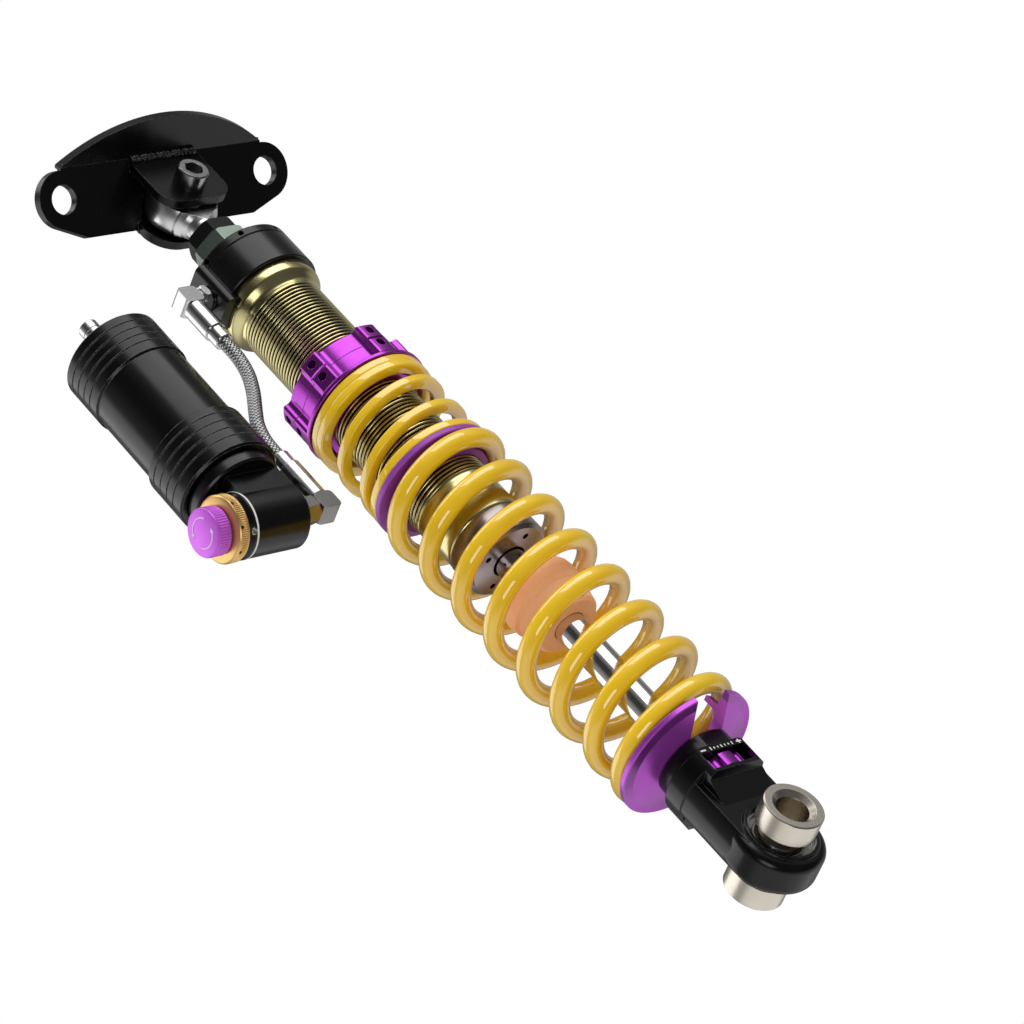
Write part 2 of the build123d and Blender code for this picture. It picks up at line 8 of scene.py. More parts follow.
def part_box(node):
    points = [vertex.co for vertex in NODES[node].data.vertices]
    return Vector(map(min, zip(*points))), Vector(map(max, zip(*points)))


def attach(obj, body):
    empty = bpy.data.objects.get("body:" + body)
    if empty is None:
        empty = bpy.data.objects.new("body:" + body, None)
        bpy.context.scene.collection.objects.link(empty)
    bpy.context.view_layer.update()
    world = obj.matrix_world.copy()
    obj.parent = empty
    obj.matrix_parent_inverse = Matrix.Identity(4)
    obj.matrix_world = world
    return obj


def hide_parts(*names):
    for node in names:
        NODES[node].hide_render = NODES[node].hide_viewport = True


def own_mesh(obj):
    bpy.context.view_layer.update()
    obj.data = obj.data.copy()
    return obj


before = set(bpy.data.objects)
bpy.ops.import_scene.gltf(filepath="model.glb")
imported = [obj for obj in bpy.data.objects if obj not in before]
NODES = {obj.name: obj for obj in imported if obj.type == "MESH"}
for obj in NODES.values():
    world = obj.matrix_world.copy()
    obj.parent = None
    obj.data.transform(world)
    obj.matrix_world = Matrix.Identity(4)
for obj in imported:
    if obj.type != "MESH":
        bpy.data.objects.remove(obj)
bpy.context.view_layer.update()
MM = 0.001

# Places on the CAD model, in millimetres.
RESERVOIR_X = -122.0
VALVE_Z = 290.5                                   # axis of the dials
RESERVOIR_UPPER_R = 28.8
UPPER_GROOVES = (424, 418.5, 413, 407.5)
LOWER_GROOVES = (344, 338, 332, 326)
PLATE_LIP, SPACER_SEAT, SPACER_SHOULDER, PERCH_SPIGOT = 9.0, 7.0, 5.0, 7.0


def box_mm(node):
    """Lowest and highest corner of a CAD node at rest, in millimetres."""
    low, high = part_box(node)
    return Vector(low) / MM, Vector(high) / MM


# ---- camera ----

CAMERA_PLACE = Vector((-1.5000, -1.3190, -0.9318))
VIEW_RIGHT = Vector((0.73994, -0.32714, -0.58777))
VIEW_AHEAD = Vector((0.65222, 0.56273, 0.50788))
FOCAL_LENGTH, SENSOR = 154.30, 36.0


def make_camera():
    ahead = VIEW_AHEAD.normalized()
    right = (VIEW_RIGHT - ahead * VIEW_RIGHT.dot(ahead)).normalized()
    turn = Matrix((right, right.cross(ahead), -ahead)).transposed()
    data = bpy.data.cameras.new("camera")
    data.lens = FOCAL_LENGTH
    data.sensor_width = SENSOR
    data.clip_start, data.clip_end = 0.05, 50
    camera = bpy.data.objects.new("camera", data)
    camera.matrix_world = Matrix.Translation(CAMERA_PLACE) @ turn.to_4x4()
    bpy.context.scene.collection.objects.link(camera)
    bpy.context.scene.camera = camera


make_camera()


# ---- materials ----

def srgb(red, green, blue):
    """Linear colour from 0 to 255 display values."""
    def linear(value):
        value /= 255
        return value / 12.92 if value <= 0.04045 else ((value + 0.055) / 1.055) ** 2.4
    return (linear(red), linear(green), linear(blue), 1.0)


class Surface:
    """A material's node tree with short calls to add to it."""

    def __init__(self, name, metallic=0.0, rough=0.3, coat=0.0, coat_rough=0.1, specular=0.5, coat_ior=1.5):
        self.material = bpy.data.materials.new(name)
        self.material.use_nodes = True
        self.tree = self.material.node_tree
        self.shader = self.tree.nodes["Principled BSDF"]
        self.shader.inputs["Metallic"].default_value = metallic
        self.shader.inputs["Roughness"].default_value = rough
        self.shader.inputs["Coat Weight"].default_value = coat
        self.shader.inputs["Coat Roughness"].default_value = coat_rough
        self.shader.inputs["Coat IOR"].default_value = coat_ior
        self.shader.inputs["Specular IOR Level"].default_value = specular
        coordinates = self.tree.nodes.new("ShaderNodeTexCoord")
        self.place = coordinates.outputs["Object"]

    def node(self, kind, **inputs):
        made = self.tree.nodes.new("ShaderNode" + kind)
        for name, value in inputs.items():
            self.put(made.inputs[name.replace("_", " ")], value)
        return made

    def put(self, socket, value):
        if isinstance(value, bpy.types.NodeSocket):
            self.tree.links.new(value, socket)
        else:
            socket.default_value = value

    def maths(self, operation, first, second=0.0):
        made = self.tree.nodes.new("ShaderNodeMath")
        made.operation = operation
        self.put(made.inputs[0], first)
        self.put(made.inputs[1], second)
        return made.outputs[0]

    def noise(self, scale, detail=3.0, vector=None, rough=0.55):
        made = self.node("TexNoise", Vector=vector or self.place, Scale=scale, Detail=detail,
                         Roughness=rough)
        return made.outputs["Fac"]

    def ranged(self, value, low, high, to_low, to_high):
        made = self.tree.nodes.new("ShaderNodeMapRange")
        for index, number in enumerate((value, low, high, to_low, to_high)):
            self.put(made.inputs[index], number)
        return made.outputs[0]

    def mixed(self, factor, first, second):
        made = self.tree.nodes.new("ShaderNodeMix")
        made.data_type = "RGBA"
        self.put(made.inputs[0], factor)
        self.put(made.inputs[6], first)
        self.put(made.inputs[7], second)
        return made.outputs[2]

    def colour(self, value):
        self.put(self.shader.inputs["Base Color"], value)

    def rough(self, value):
        self.put(self.shader.inputs["Roughness"], value)

    def bump(self, height, depth_mm, strength=1.0, normal=None):
        made = self.node("Bump", Height=height, Distance=depth_mm * MM, Strength=strength)
        if normal is not None:
            self.put(made.inputs["Normal"], normal)
        return made.outputs[0]

    def normal(self, value):
        self.put(self.shader.inputs["Normal"], value)

    def soft_edges(self, radius_mm):
        """Normal that rounds sharp edges over a small radius."""
        made = self.node("Bevel", Radius=radius_mm * MM)
        made.samples = 4
        return made.outputs[0]

    def edges(self, soft, width=0.12):
        """1 on the sharp edges that soft rounds off, 0 on flat faces."""
        flat = self.tree.nodes.new("ShaderNodeNewGeometry").outputs["Normal"]
        dot = self.tree.nodes.new("ShaderNodeVectorMath")
        dot.operation = "DOT_PRODUCT"
        self.put(dot.inputs[0], soft)
        self.put(dot.inputs[1], flat)
        return self.ranged(dot.outputs["Value"], 1.0, 1.0 - width, 0.0, 1.0)

    def lathe_lines(self, axis="z", centre_x=0.0, centre_z=0.0, scale=2600.0, detail=2.0):
        """Fine turning marks round an axis: noise that varies only along the axis and the radius."""
        split = self.node("SeparateXYZ", Vector=self.place)
        x = self.maths("SUBTRACT", split.outputs[0], centre_x * MM)
        y = split.outputs[1]
        z = self.maths("SUBTRACT", split.outputs[2], centre_z * MM)
        pairs = {"x": (y, z, x), "y": (x, z, y), "z": (x, y, z)}
        one, other, along = pairs[axis]
        square = self.maths("ADD", self.maths("MULTIPLY", one, one), self.maths("MULTIPLY", other, other))
        radius = self.maths("SQRT", square)
        joined = self.node("CombineXYZ", X=radius, Y=along)
        return self.noise(scale, detail, joined.outputs[0], 0.7)


def turned_metal(name, colour, dark, metallic, rough, lines=0.0015, axis="z", centre=(0.0, 0.0), edge_wear_and_highlight=0.0,
                 edge_wear_and_highlight_colour=None, edge=0.35, specular=0.5):
    """Machined or anodised metal: turning marks, slow tone changes, and edges painted brighter, partly as
    wear and partly as a painted highlight.
    """
    surface = Surface(name, metallic, rough, specular=specular)
    marks = surface.lathe_lines(axis, *centre)
    clouds = surface.noise(38, 4)
    grain = surface.noise(900, 2)
    soft = surface.soft_edges(edge)
    tone = surface.mixed(surface.ranged(clouds, 0.3, 0.7, 0.0, 1.0), colour, dark)
    # Edges painted paler: partly real wear, partly a painted highlight where edges catch the light.
    if edge_wear_and_highlight:
        worn_and_lit_edges = surface.maths("MULTIPLY", surface.edges(soft), surface.ranged(grain, 0.35, 0.6, 0.0, edge_wear_and_highlight))
        tone = surface.mixed(worn_and_lit_edges, tone, edge_wear_and_highlight_colour)
    surface.colour(tone)
    spread = surface.ranged(marks, 0.25, 0.75, rough - 0.03, rough + 0.04)
    surface.rough(surface.maths("ADD", spread, surface.ranged(clouds, 0.3, 0.7, -0.03, 0.03)))
    fine = surface.bump(marks, lines, 0.6, soft)
    surface.normal(surface.bump(grain, 0.0008, 0.5, fine))
    return surface.material


def painted(name, colour, dark, rough, peel=0.02, coat=0.0, coat_rough=0.1, peel_scale=420, edge_wear_and_highlight=0.0,
            edge_wear_and_highlight_colour=None, specular=0.5, coat_ior=1.5):
    """Powder coat or enamel: orange peel, slow tone changes, a few dust specks and thin edges, painted paler
    partly as wear and partly as a painted highlight.
    """
    surface = Surface(name, 0.0, rough, coat, coat_rough, specular, coat_ior)
    clouds = surface.noise(30, 4)
    waves = surface.noise(peel_scale, 2)
    dust = surface.noise(2400, 1)
    soft = surface.soft_edges(0.5)
    tone = surface.mixed(surface.ranged(clouds, 0.3, 0.7, 0.0, 1.0), colour, dark)
    # Edges painted paler: partly real wear, partly a painted highlight where edges catch the light.
    if edge_wear_and_highlight:
        worn_and_lit_edges = surface.maths("MULTIPLY", surface.edges(soft), surface.ranged(waves, 0.4, 0.6, 0.0, edge_wear_and_highlight))
        tone = surface.mixed(worn_and_lit_edges, tone, edge_wear_and_highlight_colour)
    surface.colour(tone)
    surface.rough(surface.ranged(dust, 0.35, 0.75, rough - 0.03, rough + 0.06))
    surface.normal(surface.bump(waves, peel, 0.5, soft))
    return surface.material


BLACK, DEEP_BLACK = srgb(11, 11, 12), srgb(7, 7, 8)
GREY_EDGE = srgb(96, 96, 97)
PALE_VIOLET = srgb(226, 160, 236)
OLIVE_GOLD, DEEP_OLIVE = srgb(222, 212, 158), srgb(206, 194, 138)
NICKEL, DEEP_NICKEL = srgb(226, 219, 206), srgb(210, 202, 188)
STEEL, DEEP_STEEL = srgb(218, 218, 219), srgb(198, 198, 200)
GOLD, DEEP_GOLD = srgb(244, 204, 134), srgb(230, 184, 110)
YELLOW, DEEP_YELLOW = srgb(247, 203, 8), srgb(240, 193, 5)

# Where wear is set, edges are painted paler: partly real wear, partly a painted highlight.
black_anodised = turned_metal("black_anodised", BLACK, DEEP_BLACK, 0.0, 0.24, 0.0006, edge_wear_and_highlight=0.35,
                              edge_wear_and_highlight_colour=GREY_EDGE, specular=0.42)
eye_black = turned_metal("eye_black", BLACK, DEEP_BLACK, 0.0, 0.20, 0.0003, "y", edge_wear_and_highlight=0.35,
                         edge_wear_and_highlight_colour=GREY_EDGE, edge=0.8, specular=0.34)
# Pale edges here, along the grooves too, are a painted highlight.
reservoir_black = turned_metal("reservoir_black", BLACK, DEEP_BLACK, 0.0, 0.23, 0.0004, "z",
                               (RESERVOIR_X, 0.0), edge_wear_and_highlight=1.0, edge_wear_and_highlight_colour=srgb(170, 170, 172), edge=0.25,
                               specular=0.34)
head_black = turned_metal("head_black", BLACK, DEEP_BLACK, 0.0, 0.23, 0.0006, "x", (0.0, VALVE_Z), edge_wear_and_highlight=0.4,
                          edge_wear_and_highlight_colour=GREY_EDGE, specular=0.42)
bracket_black = painted("bracket_black", BLACK, DEEP_BLACK, 0.26, 0.004, edge_wear_and_highlight=0.7,
                        edge_wear_and_highlight_colour=srgb(130, 130, 132), specular=0.32)
weld_black = painted("weld_black", srgb(20, 20, 21), srgb(12, 12, 13), 0.16, 0.010, edge_wear_and_highlight=0.9,
                     edge_wear_and_highlight_colour=srgb(150, 150, 152), specular=0.9)
violet = turned_metal("violet", srgb(176, 72, 190), srgb(158, 58, 172), 0.9, 0.24, 0.0004, edge_wear_and_highlight=0.4,
                      edge_wear_and_highlight_colour=PALE_VIOLET)
spacer_violet = turned_metal("spacer_violet", srgb(158, 70, 180), srgb(142, 58, 164), 0.2, 0.45, edge_wear_and_highlight=0.3,
                             edge_wear_and_highlight_colour=PALE_VIOLET)
knob_violet = turned_metal("knob_violet", srgb(214, 108, 236), srgb(200, 92, 224), 0.45, 0.36, 0.0015, "x",
                           (0.0, VALVE_Z), edge_wear_and_highlight=0.4, edge_wear_and_highlight_colour=PALE_VIOLET)
ring_gold = turned_metal("ring_gold", GOLD, DEEP_GOLD, 0.8, 0.30, 0.002, "x", (0.0, VALVE_Z), edge_wear_and_highlight=0.3,
                         edge_wear_and_highlight_colour=srgb(252, 228, 180))
gland_steel = turned_metal("gland_steel", srgb(172, 162, 166), srgb(150, 140, 144), 1.0, 0.24, 0.002)
nickel = turned_metal("nickel", NICKEL, DEEP_NICKEL, 1.0, 0.28, 0.001, "y", edge_wear_and_highlight=0.3,
                      edge_wear_and_highlight_colour=srgb(244, 240, 232))
race_steel = turned_metal("race_steel", srgb(176, 174, 170), srgb(150, 148, 144), 1.0, 0.22, 0.002, "y")
rod_end_steel = turned_metal("rod_end_steel", srgb(228, 228, 229), srgb(214, 214, 215), 1.0, 0.30, 0.0005)
dull_steel = turned_metal("dull_steel", srgb(158, 156, 154), srgb(132, 130, 128), 1.0, 0.24, 0.001,
                          edge_wear_and_highlight=0.3, edge_wear_and_highlight_colour=srgb(230, 230, 230))
# Pale grey for the painted highlight on the reservoir's groove lips.
groove_highlight_grey = turned_metal("groove_highlight_grey", srgb(112, 112, 114), srgb(92, 92, 94), 0.25, 0.45)
clean_steel = turned_metal("clean_steel", STEEL, DEEP_STEEL, 1.0, 0.22, 0.001, edge_wear_and_highlight=0.3,
                           edge_wear_and_highlight_colour=srgb(240, 240, 240))
zinc = turned_metal("zinc", srgb(196, 212, 200), srgb(172, 190, 176), 1.0, 0.30)
bolt_metal = turned_metal("bolt_metal", srgb(176, 176, 178), srgb(140, 140, 142), 1.0, 0.24, 0.0016, "y",
                          edge_wear_and_highlight=0.5, edge_wear_and_highlight_colour=srgb(230, 230, 230))
dark_nut = turned_metal("dark_nut", srgb(40, 40, 41), srgb(28, 28, 29), 0.6, 0.26, edge_wear_and_highlight=0.5,
                        edge_wear_and_highlight_colour=GREY_EDGE)
chrome = turned_metal("chrome", srgb(226, 224, 222), srgb(220, 218, 216), 1.0, 0.09, 0.0002)
bare_aluminium = turned_metal("bare_aluminium", srgb(196, 196, 198), srgb(176, 176, 178), 1.0, 0.30)
bronze = turned_metal("bronze", srgb(176, 132, 72), srgb(150, 108, 56), 1.0, 0.34)
spring_yellow = painted("spring_yellow", YELLOW, DEEP_YELLOW, 0.45, 0.003, 1.0, 0.04, specular=0.25,
                        coat_ior=1.9)
polymer = painted("polymer", srgb(196, 188, 172), srgb(176, 168, 150), 0.55, 0.02)
seal_rubber = painted("seal_rubber", srgb(34, 34, 34), srgb(26, 26, 26), 0.60, 0.03)
white_paint = painted("white_paint", srgb(236, 236, 236), srgb(222, 222, 222), 0.45, 0.01)
pale_print = painted("pale_print", srgb(240, 196, 248), srgb(232, 186, 242), 0.45, 0.004)
# Near-black paint for the painted shade of the dial ring's detent holes.
painted_hole_shade = painted("painted_hole_shade", srgb(12, 12, 12), srgb(8, 8, 8), 0.60, 0.01)


def foam_material():
    """Cellular polyurethane: matt, with small open pores and a moulded skin."""
    surface = Surface("foam", 0.0, 0.62, specular=0.35)
    cells = surface.node("TexVoronoi", Vector=surface.place, Scale=1100.0).outputs["Distance"]
    clouds = surface.noise(60, 5)
    pores = surface.ranged(surface.noise(1500, 2), 0.60, 0.72, 0.0, 1.0)
    pale, deep = srgb(255, 200, 154), srgb(252, 190, 142)
    tone = surface.mixed(surface.ranged(clouds, 0.3, 0.7, 0.0, 1.0), pale, deep)
    surface.colour(surface.mixed(surface.maths("MULTIPLY", pores, 0.3), tone, srgb(200, 120, 80)))
    surface.normal(surface.bump(surface.maths("SUBTRACT", cells, pores), 0.10, 0.5))
    return surface.material


def thread_material():
    """The plated body: bright crests, and dark thread roots that are painted shade."""
    surface = Surface("thread_gold", 1.0, 0.20)
    depth = surface.tree.nodes.new("ShaderNodeAttribute")
    depth.attribute_name = "depth"
    clouds = surface.noise(45, 4)
    marks = surface.lathe_lines("z")
    tone = surface.mixed(surface.ranged(clouds, 0.3, 0.7, 0.0, 1.0), OLIVE_GOLD, DEEP_OLIVE)
    # Thread roots darkened by their depth: painted shade.
    painted_groove_shade = surface.ranged(depth.outputs["Fac"], 0.12, 0.6, 0.0, 1.0)
    surface.colour(surface.mixed(painted_groove_shade, tone, srgb(30, 25, 10)))
    surface.rough(surface.ranged(marks, 0.25, 0.75, 0.16, 0.28))
    surface.normal(surface.bump(marks, 0.0008, 0.5))
    return surface.material


def braid_material():
    """Stainless braid: each strand of wires bright on top, with painted shade between the strands."""
    surface = Surface("braid", 1.0, 0.42)
    depth = surface.tree.nodes.new("ShaderNodeAttribute")
    depth.attribute_name = "depth"
    grime = surface.noise(500, 3)
    tone = surface.mixed(grime, srgb(214, 214, 215), srgb(168, 168, 170))
    # Gaps between the strands darkened by depth: painted shade.
    painted_strand_shade = surface.ranged(depth.outputs["Fac"], 0.08, 0.45, 0.0, 1.0)
    surface.colour(surface.mixed(painted_strand_shade, tone, srgb(10, 10, 11)))
    surface.rough(surface.ranged(grime, 0.3, 0.7, 0.34, 0.50))
    surface.normal(surface.bump(grime, 0.02, 0.4))
    return surface.material


def plate_material():
    """The violet of the lower plate, shaded as if a chamfer were turned round its rim."""
    chamfer_wide, chamfer_deep = 5.0, 3.0
    surface = Surface("plate_violet", 0.6, 0.27)
    rim = box_mm("lower_spring_plate")[1].x
    split = surface.node("SeparateXYZ", Vector=surface.place)
    square = surface.maths("ADD", surface.maths("POWER", split.outputs[0], 2.0),
                           surface.maths("POWER", split.outputs[1], 2.0))
    radius = surface.maths("SQRT", square)
    chamfer = surface.ranged(radius, (rim - chamfer_wide) * MM, rim * MM, 0.0, 1.0)
    marks = surface.lathe_lines("z")
    clouds = surface.noise(38, 4)
    bright, deep = srgb(188, 84, 204), srgb(174, 72, 190)
    tone = surface.mixed(surface.ranged(clouds, 0.3, 0.7, 0.0, 1.0), bright, deep)
    soft = surface.soft_edges(0.5)
    # Sharp edges painted paler: a painted highlight along the rim.
    surface.colour(surface.mixed(surface.maths("MULTIPLY", surface.edges(soft), 0.5), tone, PALE_VIOLET))
    surface.rough(surface.ranged(marks, 0.25, 0.75, 0.28, 0.31))
    surface.normal(surface.bump(chamfer, chamfer_deep, 1.0, soft))
    return surface.material


foam = foam_material()
plate_violet = plate_material()
thread_gold = thread_material()
braid = braid_material()


# ---- mesh tools ----

def make_piece(name, points, faces, material, body, replaced=(), sharp=32, weld=False):
    """Closed mesh from points in millimetres, smooth-shaded with its sharp edges kept, riding on a body."""
    mesh = bpy.data.meshes.new(name)
    mesh.from_pydata([Vector(point) * MM for point in points], [], faces)
    edit = bmesh.new()
    edit.from_mesh(mesh)
    if weld:
        bmesh.ops.remove_doubles(edit, verts=edit.verts, dist=0.002 * MM)
    bmesh.ops.recalc_face_normals(edit, faces=edit.faces)
    edit.to_mesh(mesh)
    edit.free()
    mesh.polygons.foreach_set("use_smooth", [True] * len(mesh.polygons))
    mesh.set_sharp_from_angle(angle=math.radians(sharp))
    mesh.materials.append(material)
    piece = bpy.data.objects.new(name, mesh)
    bpy.context.scene.collection.objects.link(piece)
    if replaced:
        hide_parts(*replaced)
    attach(piece, body)
    return piece


def loop_faces(rings, size, closed=False):
    """Quads between neighbouring rings of the same size; closed joins the last ring to the first."""
    faces = []
    for ring in range(rings if closed else rings - 1):
        for step in range(size):
            a, b = ring * size + step, ring * size + (step + 1) % size
            c, d = ((ring + 1) % rings) * size + (step + 1) % size, ((ring + 1) % rings) * size + step
            faces.append((a, b, c, d))
    return faces


def sweep(rings):
    """Points and faces of a tube through rings of points, with flat ends."""
    size = len(rings[0])
    points = [point for ring in rings for point in ring]
    ends = [tuple(range(size)), tuple(range(len(points) - size, len(points)))]
    return points, loop_faces(len(rings), size) + ends


def lathe(profile, segments=96, axis="z", centre=(0.0, 0.0, 0.0), shape=None):
    """Solid of revolution from a closed outline of (radius, height); shape may move the radius."""
    points = []
    for step in range(segments):
        angle = 2 * math.pi * step / segments
        for radius, height in profile:
            if shape and radius > 0:
                radius = shape(angle, radius, height)
            one, other = radius * math.cos(angle), radius * math.sin(angle)
            point = {"z": (one, other, height), "x": (height, one, other), "y": (one, height, other)}[axis]
            points.append(Vector(point) + Vector(centre))
    return points, loop_faces(segments, len(profile), closed=True)


def set_depth(piece, depth_of):
    """Writes how deep each vertex lies, from 0 to 1, for the material to darken as painted shade."""
    mesh = piece.data
    attribute = mesh.attributes.new("depth", "FLOAT", "POINT")
    attribute.data.foreach_set("value", [depth_of(vertex.co / MM) for vertex in mesh.vertices])


# ---- springs ----

SEAT_Z = box_mm("lower_spring_plate")[1].z - PLATE_LIP
SPACER_LOW = box_mm("spring_spacer")[0].z + SPACER_SEAT
SPACER_HIGH = box_mm("spring_spacer")[1].z - SPACER_SHOULDER
PERCH_LOW = box_mm("perch_nut")[0].z + PERCH_SPIGOT


def eased(value, low, high, blend):
    """value held between low and high, with the corners rounded over blend."""
    def floor_at(number, limit):
        return limit + 0.5 * ((number - limit) + math.sqrt((number - limit) ** 2 + blend ** 2))
    return -floor_at(-floor_at(value, low), -high)


def main_spring():
    """Round wire, closed and ground at both ends, with an even pitch between."""
    wire, radius, pitch, gap = 5.5, 35.5, 28.93, 0.12
    low, high = SEAT_Z + wire + gap, SPACER_LOW - wire - gap
    phase, first, last = math.radians(-228), -0.30, 7.75
    first_turn_z, corner, taper = 101.2, 2.2, 0.5
    steps, sides = 620, 24
    rings = []
    for step in range(steps + 1):
        turn = first + (last - first) * step / steps
        height = eased(first_turn_z + pitch * (turn - 1), low, high, corner)
        angle = phase + 2 * math.pi * turn
        rise = 0.0 if height < low + 1 or height > high - 1 else pitch / (2 * math.pi * radius)
        out = Vector((math.cos(angle), math.sin(angle), 0))
        ahead = Vector((-math.sin(angle), math.cos(angle), rise)).normalized()
        up = ahead.cross(-out).normalized() if ahead.cross(-out).z > 0 else ahead.cross(out).normalized()
        tip = max(0.0, taper - (turn - first), taper - (last - turn)) / taper
        drop = tip * tip * wire * 0.9
        middle = out * radius + Vector((0, 0, height + (drop if turn > 4 else -drop)))
        ring = []
        for side in range(sides):
            around = 2 * math.pi * side / sides
            point = middle + out * wire * math.cos(around) + up * wire * math.sin(around)
            point.z = min(max(point.z, SEAT_Z + gap), SPACER_LOW - gap)
            ring.append(point)
        rings.append(ring)
    points, faces = sweep(rings)
    piece = make_piece("main_spring_coils", points, faces, spring_yellow, "spacer", ["main_spring"])
    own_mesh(piece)


def helper_spring():
    """Flat wire wound on edge, closed at both ends."""
    wide, high, corner, radius = 7.2, 5.2, 1.0, 34.0
    low, top = SPACER_HIGH + high / 2 + 0.15, PERCH_LOW - high / 2 - 0.15
    phase, first, last, pitch = math.radians(-50), -0.95, 4.05, 21.0
    steps = 420
    rings = []
    for step in range(steps + 1):
        turn = first + (last - first) * step / steps
        height = low if turn < 0 else eased(low + pitch * (turn - 0.1), low, top - 5.0, 1.5)
        if turn > 2.75:
            height = eased(height + 5.2 * (turn - 2.75) / 1.1, low, top, 0.4)
        angle = phase + 2 * math.pi * turn
        out = Vector((math.cos(angle), math.sin(angle), 0))
        middle = out * radius + Vector((0, 0, height))
        ring = []
        for sx, sy, start in ((1, 1, 0), (-1, 1, 90), (-1, -1, 180), (1, -1, 270)):
            for bend in range(0, 91, 30):
                around = math.radians(start + bend)
                across = sx * (wide / 2 - corner) + corner * math.cos(around)
                above = sy * (high / 2 - corner) + corner * math.sin(around)
                point = middle + out * across + Vector((0, 0, above))
                point.z = min(max(point.z, SPACER_HIGH + 0.1), PERCH_LOW - 0.1)
                ring.append(point)
        rings.append(ring)
    points, faces = sweep(rings)
    piece = make_piece("helper_spring_coils", points, faces, spring_yellow, "damper", ["helper_spring"])
    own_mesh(piece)


main_spring()
helper_spring()


# ---- threaded body ----

THREAD_R, THREAD_PITCH, THREAD_DEPTH = 25.0, 2.5, 1.15
THREAD_LOW, THREAD_HIGH = 273.0, 437.0
BODY_BORE_R = 20.2


def threaded_body():
    """The body tube with a real helical thread cut in its outside."""
    low, high = box_mm("body_tube")[0].z, box_mm("body_tube")[1].z
    outside = [(BODY_BORE_R, low), (22.6, low), (23.2, low + 0.2), (24.0, low + 1.6), (24.2, low + 2.4)]
    outside += [(24.2, z) for z in (262.0, 270.0, 271.6)]
    outside += [(24.3, 272.0), (24.5, 272.6)]
    steps = int((THREAD_HIGH - THREAD_LOW) / THREAD_PITCH * 10)
    outside += [(THREAD_R, THREAD_LOW + (THREAD_HIGH - THREAD_LOW) * k / steps) for k in range(steps + 1)]
    outside += [(25.1, 437.8), (25.4, 438.6), (26.2, 439.8), (27.6, 441.2), (28.8, 442.4), (29.4, 443.2)]
    outside += [(29.7, 444.2), (29.7, high - 0.4), (29.4, high), (BODY_BORE_R, high)]

    def cut(angle, radius, height):
        if radius != THREAD_R:
            return radius
        run = (height / THREAD_PITCH - angle / (2 * math.pi)) % 1.0
        groove = max(0.0, math.cos(2 * math.pi * run) + 0.4) / 1.4
        fade = min(1.0, (height - THREAD_LOW) / 2.0, (THREAD_HIGH - height) / 2.5)
        return radius - THREAD_DEPTH * groove ** 0.7 * max(0.0, fade)

    points, faces = lathe(outside, 120, shape=cut)
    piece = make_piece("threaded_body", points, faces, thread_gold, "damper", ["body_tube"],
                       sharp=75)

    def depth_of(point):
        radius = math.hypot(point.x, point.y)
        in_thread = THREAD_LOW < point.z < THREAD_HIGH and radius > 22
        return min(1.0, max(0.0, (THREAD_R - radius) / THREAD_DEPTH)) if in_thread else 0.0

    set_depth(piece, depth_of)


threaded_body()


# ---- braided hose ----

HOSE_R, WEAVE_DEPTH, UNDER_SHARE = 4.0, 0.5, 0.25
STRANDS, STRAND_LEAD = 8, 20.0
HOSE_ROUTE = [
    (-49.5, 0, 425), (-49.5, 0, 411), (-52.7, 0, 397), (-59.4, 0, 383),
    (-67.6, 0, 370), (-74.8, 0, 358), (-78.5, 0, 344.5), (-78.5, 0, 332),
]


def smooth_route(corners, step=0.35):
    """Points a small step apart on the route with its corners rounded by arcs."""
    corners = [Vector(corner) for corner in corners]
    line = [corners[0]]
    for before, here, after in zip(corners, corners[1:], corners[2:]):
        back, ahead = (before - here), (after - here)
        cut = 0.45 * min(back.length, ahead.length)
        start, end = here + back.normalized() * cut, here + ahead.normalized() * cut
        turn = math.pi - back.angle(ahead)
        radius = cut / math.tan(turn / 2)
        inward = (back.normalized() + ahead.normalized()).normalized()
        centre = here + inward * (radius / math.cos(turn / 2))
        count = max(4, round(radius * turn / step))
        first, last = start - centre, end - centre
        for k in range(count + 1):
            share = k / count
            swung = first * math.sin((1 - share) * turn) + last * math.sin(share * turn)
            line.append(centre + swung / math.sin(turn))
    line.append(corners[-1])
    even = [line[0]]
    for here, there in zip(line, line[1:]):
        length = (there - here).length
        count = max(1, round(length / step))
        even += [here.lerp(there, (k + 1) / count) for k in range(count)]
    return even


def braided_hose():
    """Woven strands modelled as relief on the hose: each strand passes over and under its neighbours."""
    line = smooth_route(HOSE_ROUTE)
    around = 96
    rings, depths, run = [], [], 0.0
    for index, here in enumerate(line):
        before, after = line[max(index - 1, 0)], line[min(index + 1, len(line) - 1)]
        ahead = (after - before).normalized()
        side = Vector((0, 1, 0))
        other = ahead.cross(side).normalized()
        run += (here - line[index - 1]).length if index else 0.0
        ring = []
        for step in range(around):
            share = step / around
            right, left = STRANDS * (share + run / STRAND_LEAD), STRANDS * (share - run / STRAND_LEAD)
            right_on_top = math.sin(math.pi * right) * math.sin(math.pi * left) > 0
            hump_right = math.sin(math.pi * (right % 1.0)) ** 0.5
            hump_left = math.sin(math.pi * (left % 1.0)) ** 0.5
            height = max(hump_right * (1.0 if right_on_top else UNDER_SHARE),
                         hump_left * (UNDER_SHARE if right_on_top else 1.0))
            radius = HOSE_R - WEAVE_DEPTH + WEAVE_DEPTH * height
            angle = 2 * math.pi * share
            ring.append(here + side * radius * math.cos(angle) + other * radius * math.sin(angle))
            depths.append(1.0 - min(1.0, height))
        rings.append(ring)
    points, faces = sweep(rings)
    piece = make_piece("braided_hose", points, faces, braid, "damper", ["hose"], sharp=70)
    # How deep each vertex lies in the weave, for the painted shade between the strands.
    attribute = piece.data.attributes.new("depth", "FLOAT", "POINT")
    attribute.data.foreach_set("value", depths)
    length = sum((b - a).length for a, b in zip(line, line[1:])) * MM


braided_hose()


# ---- dials ----

KNOB_FACE_X = -159.1


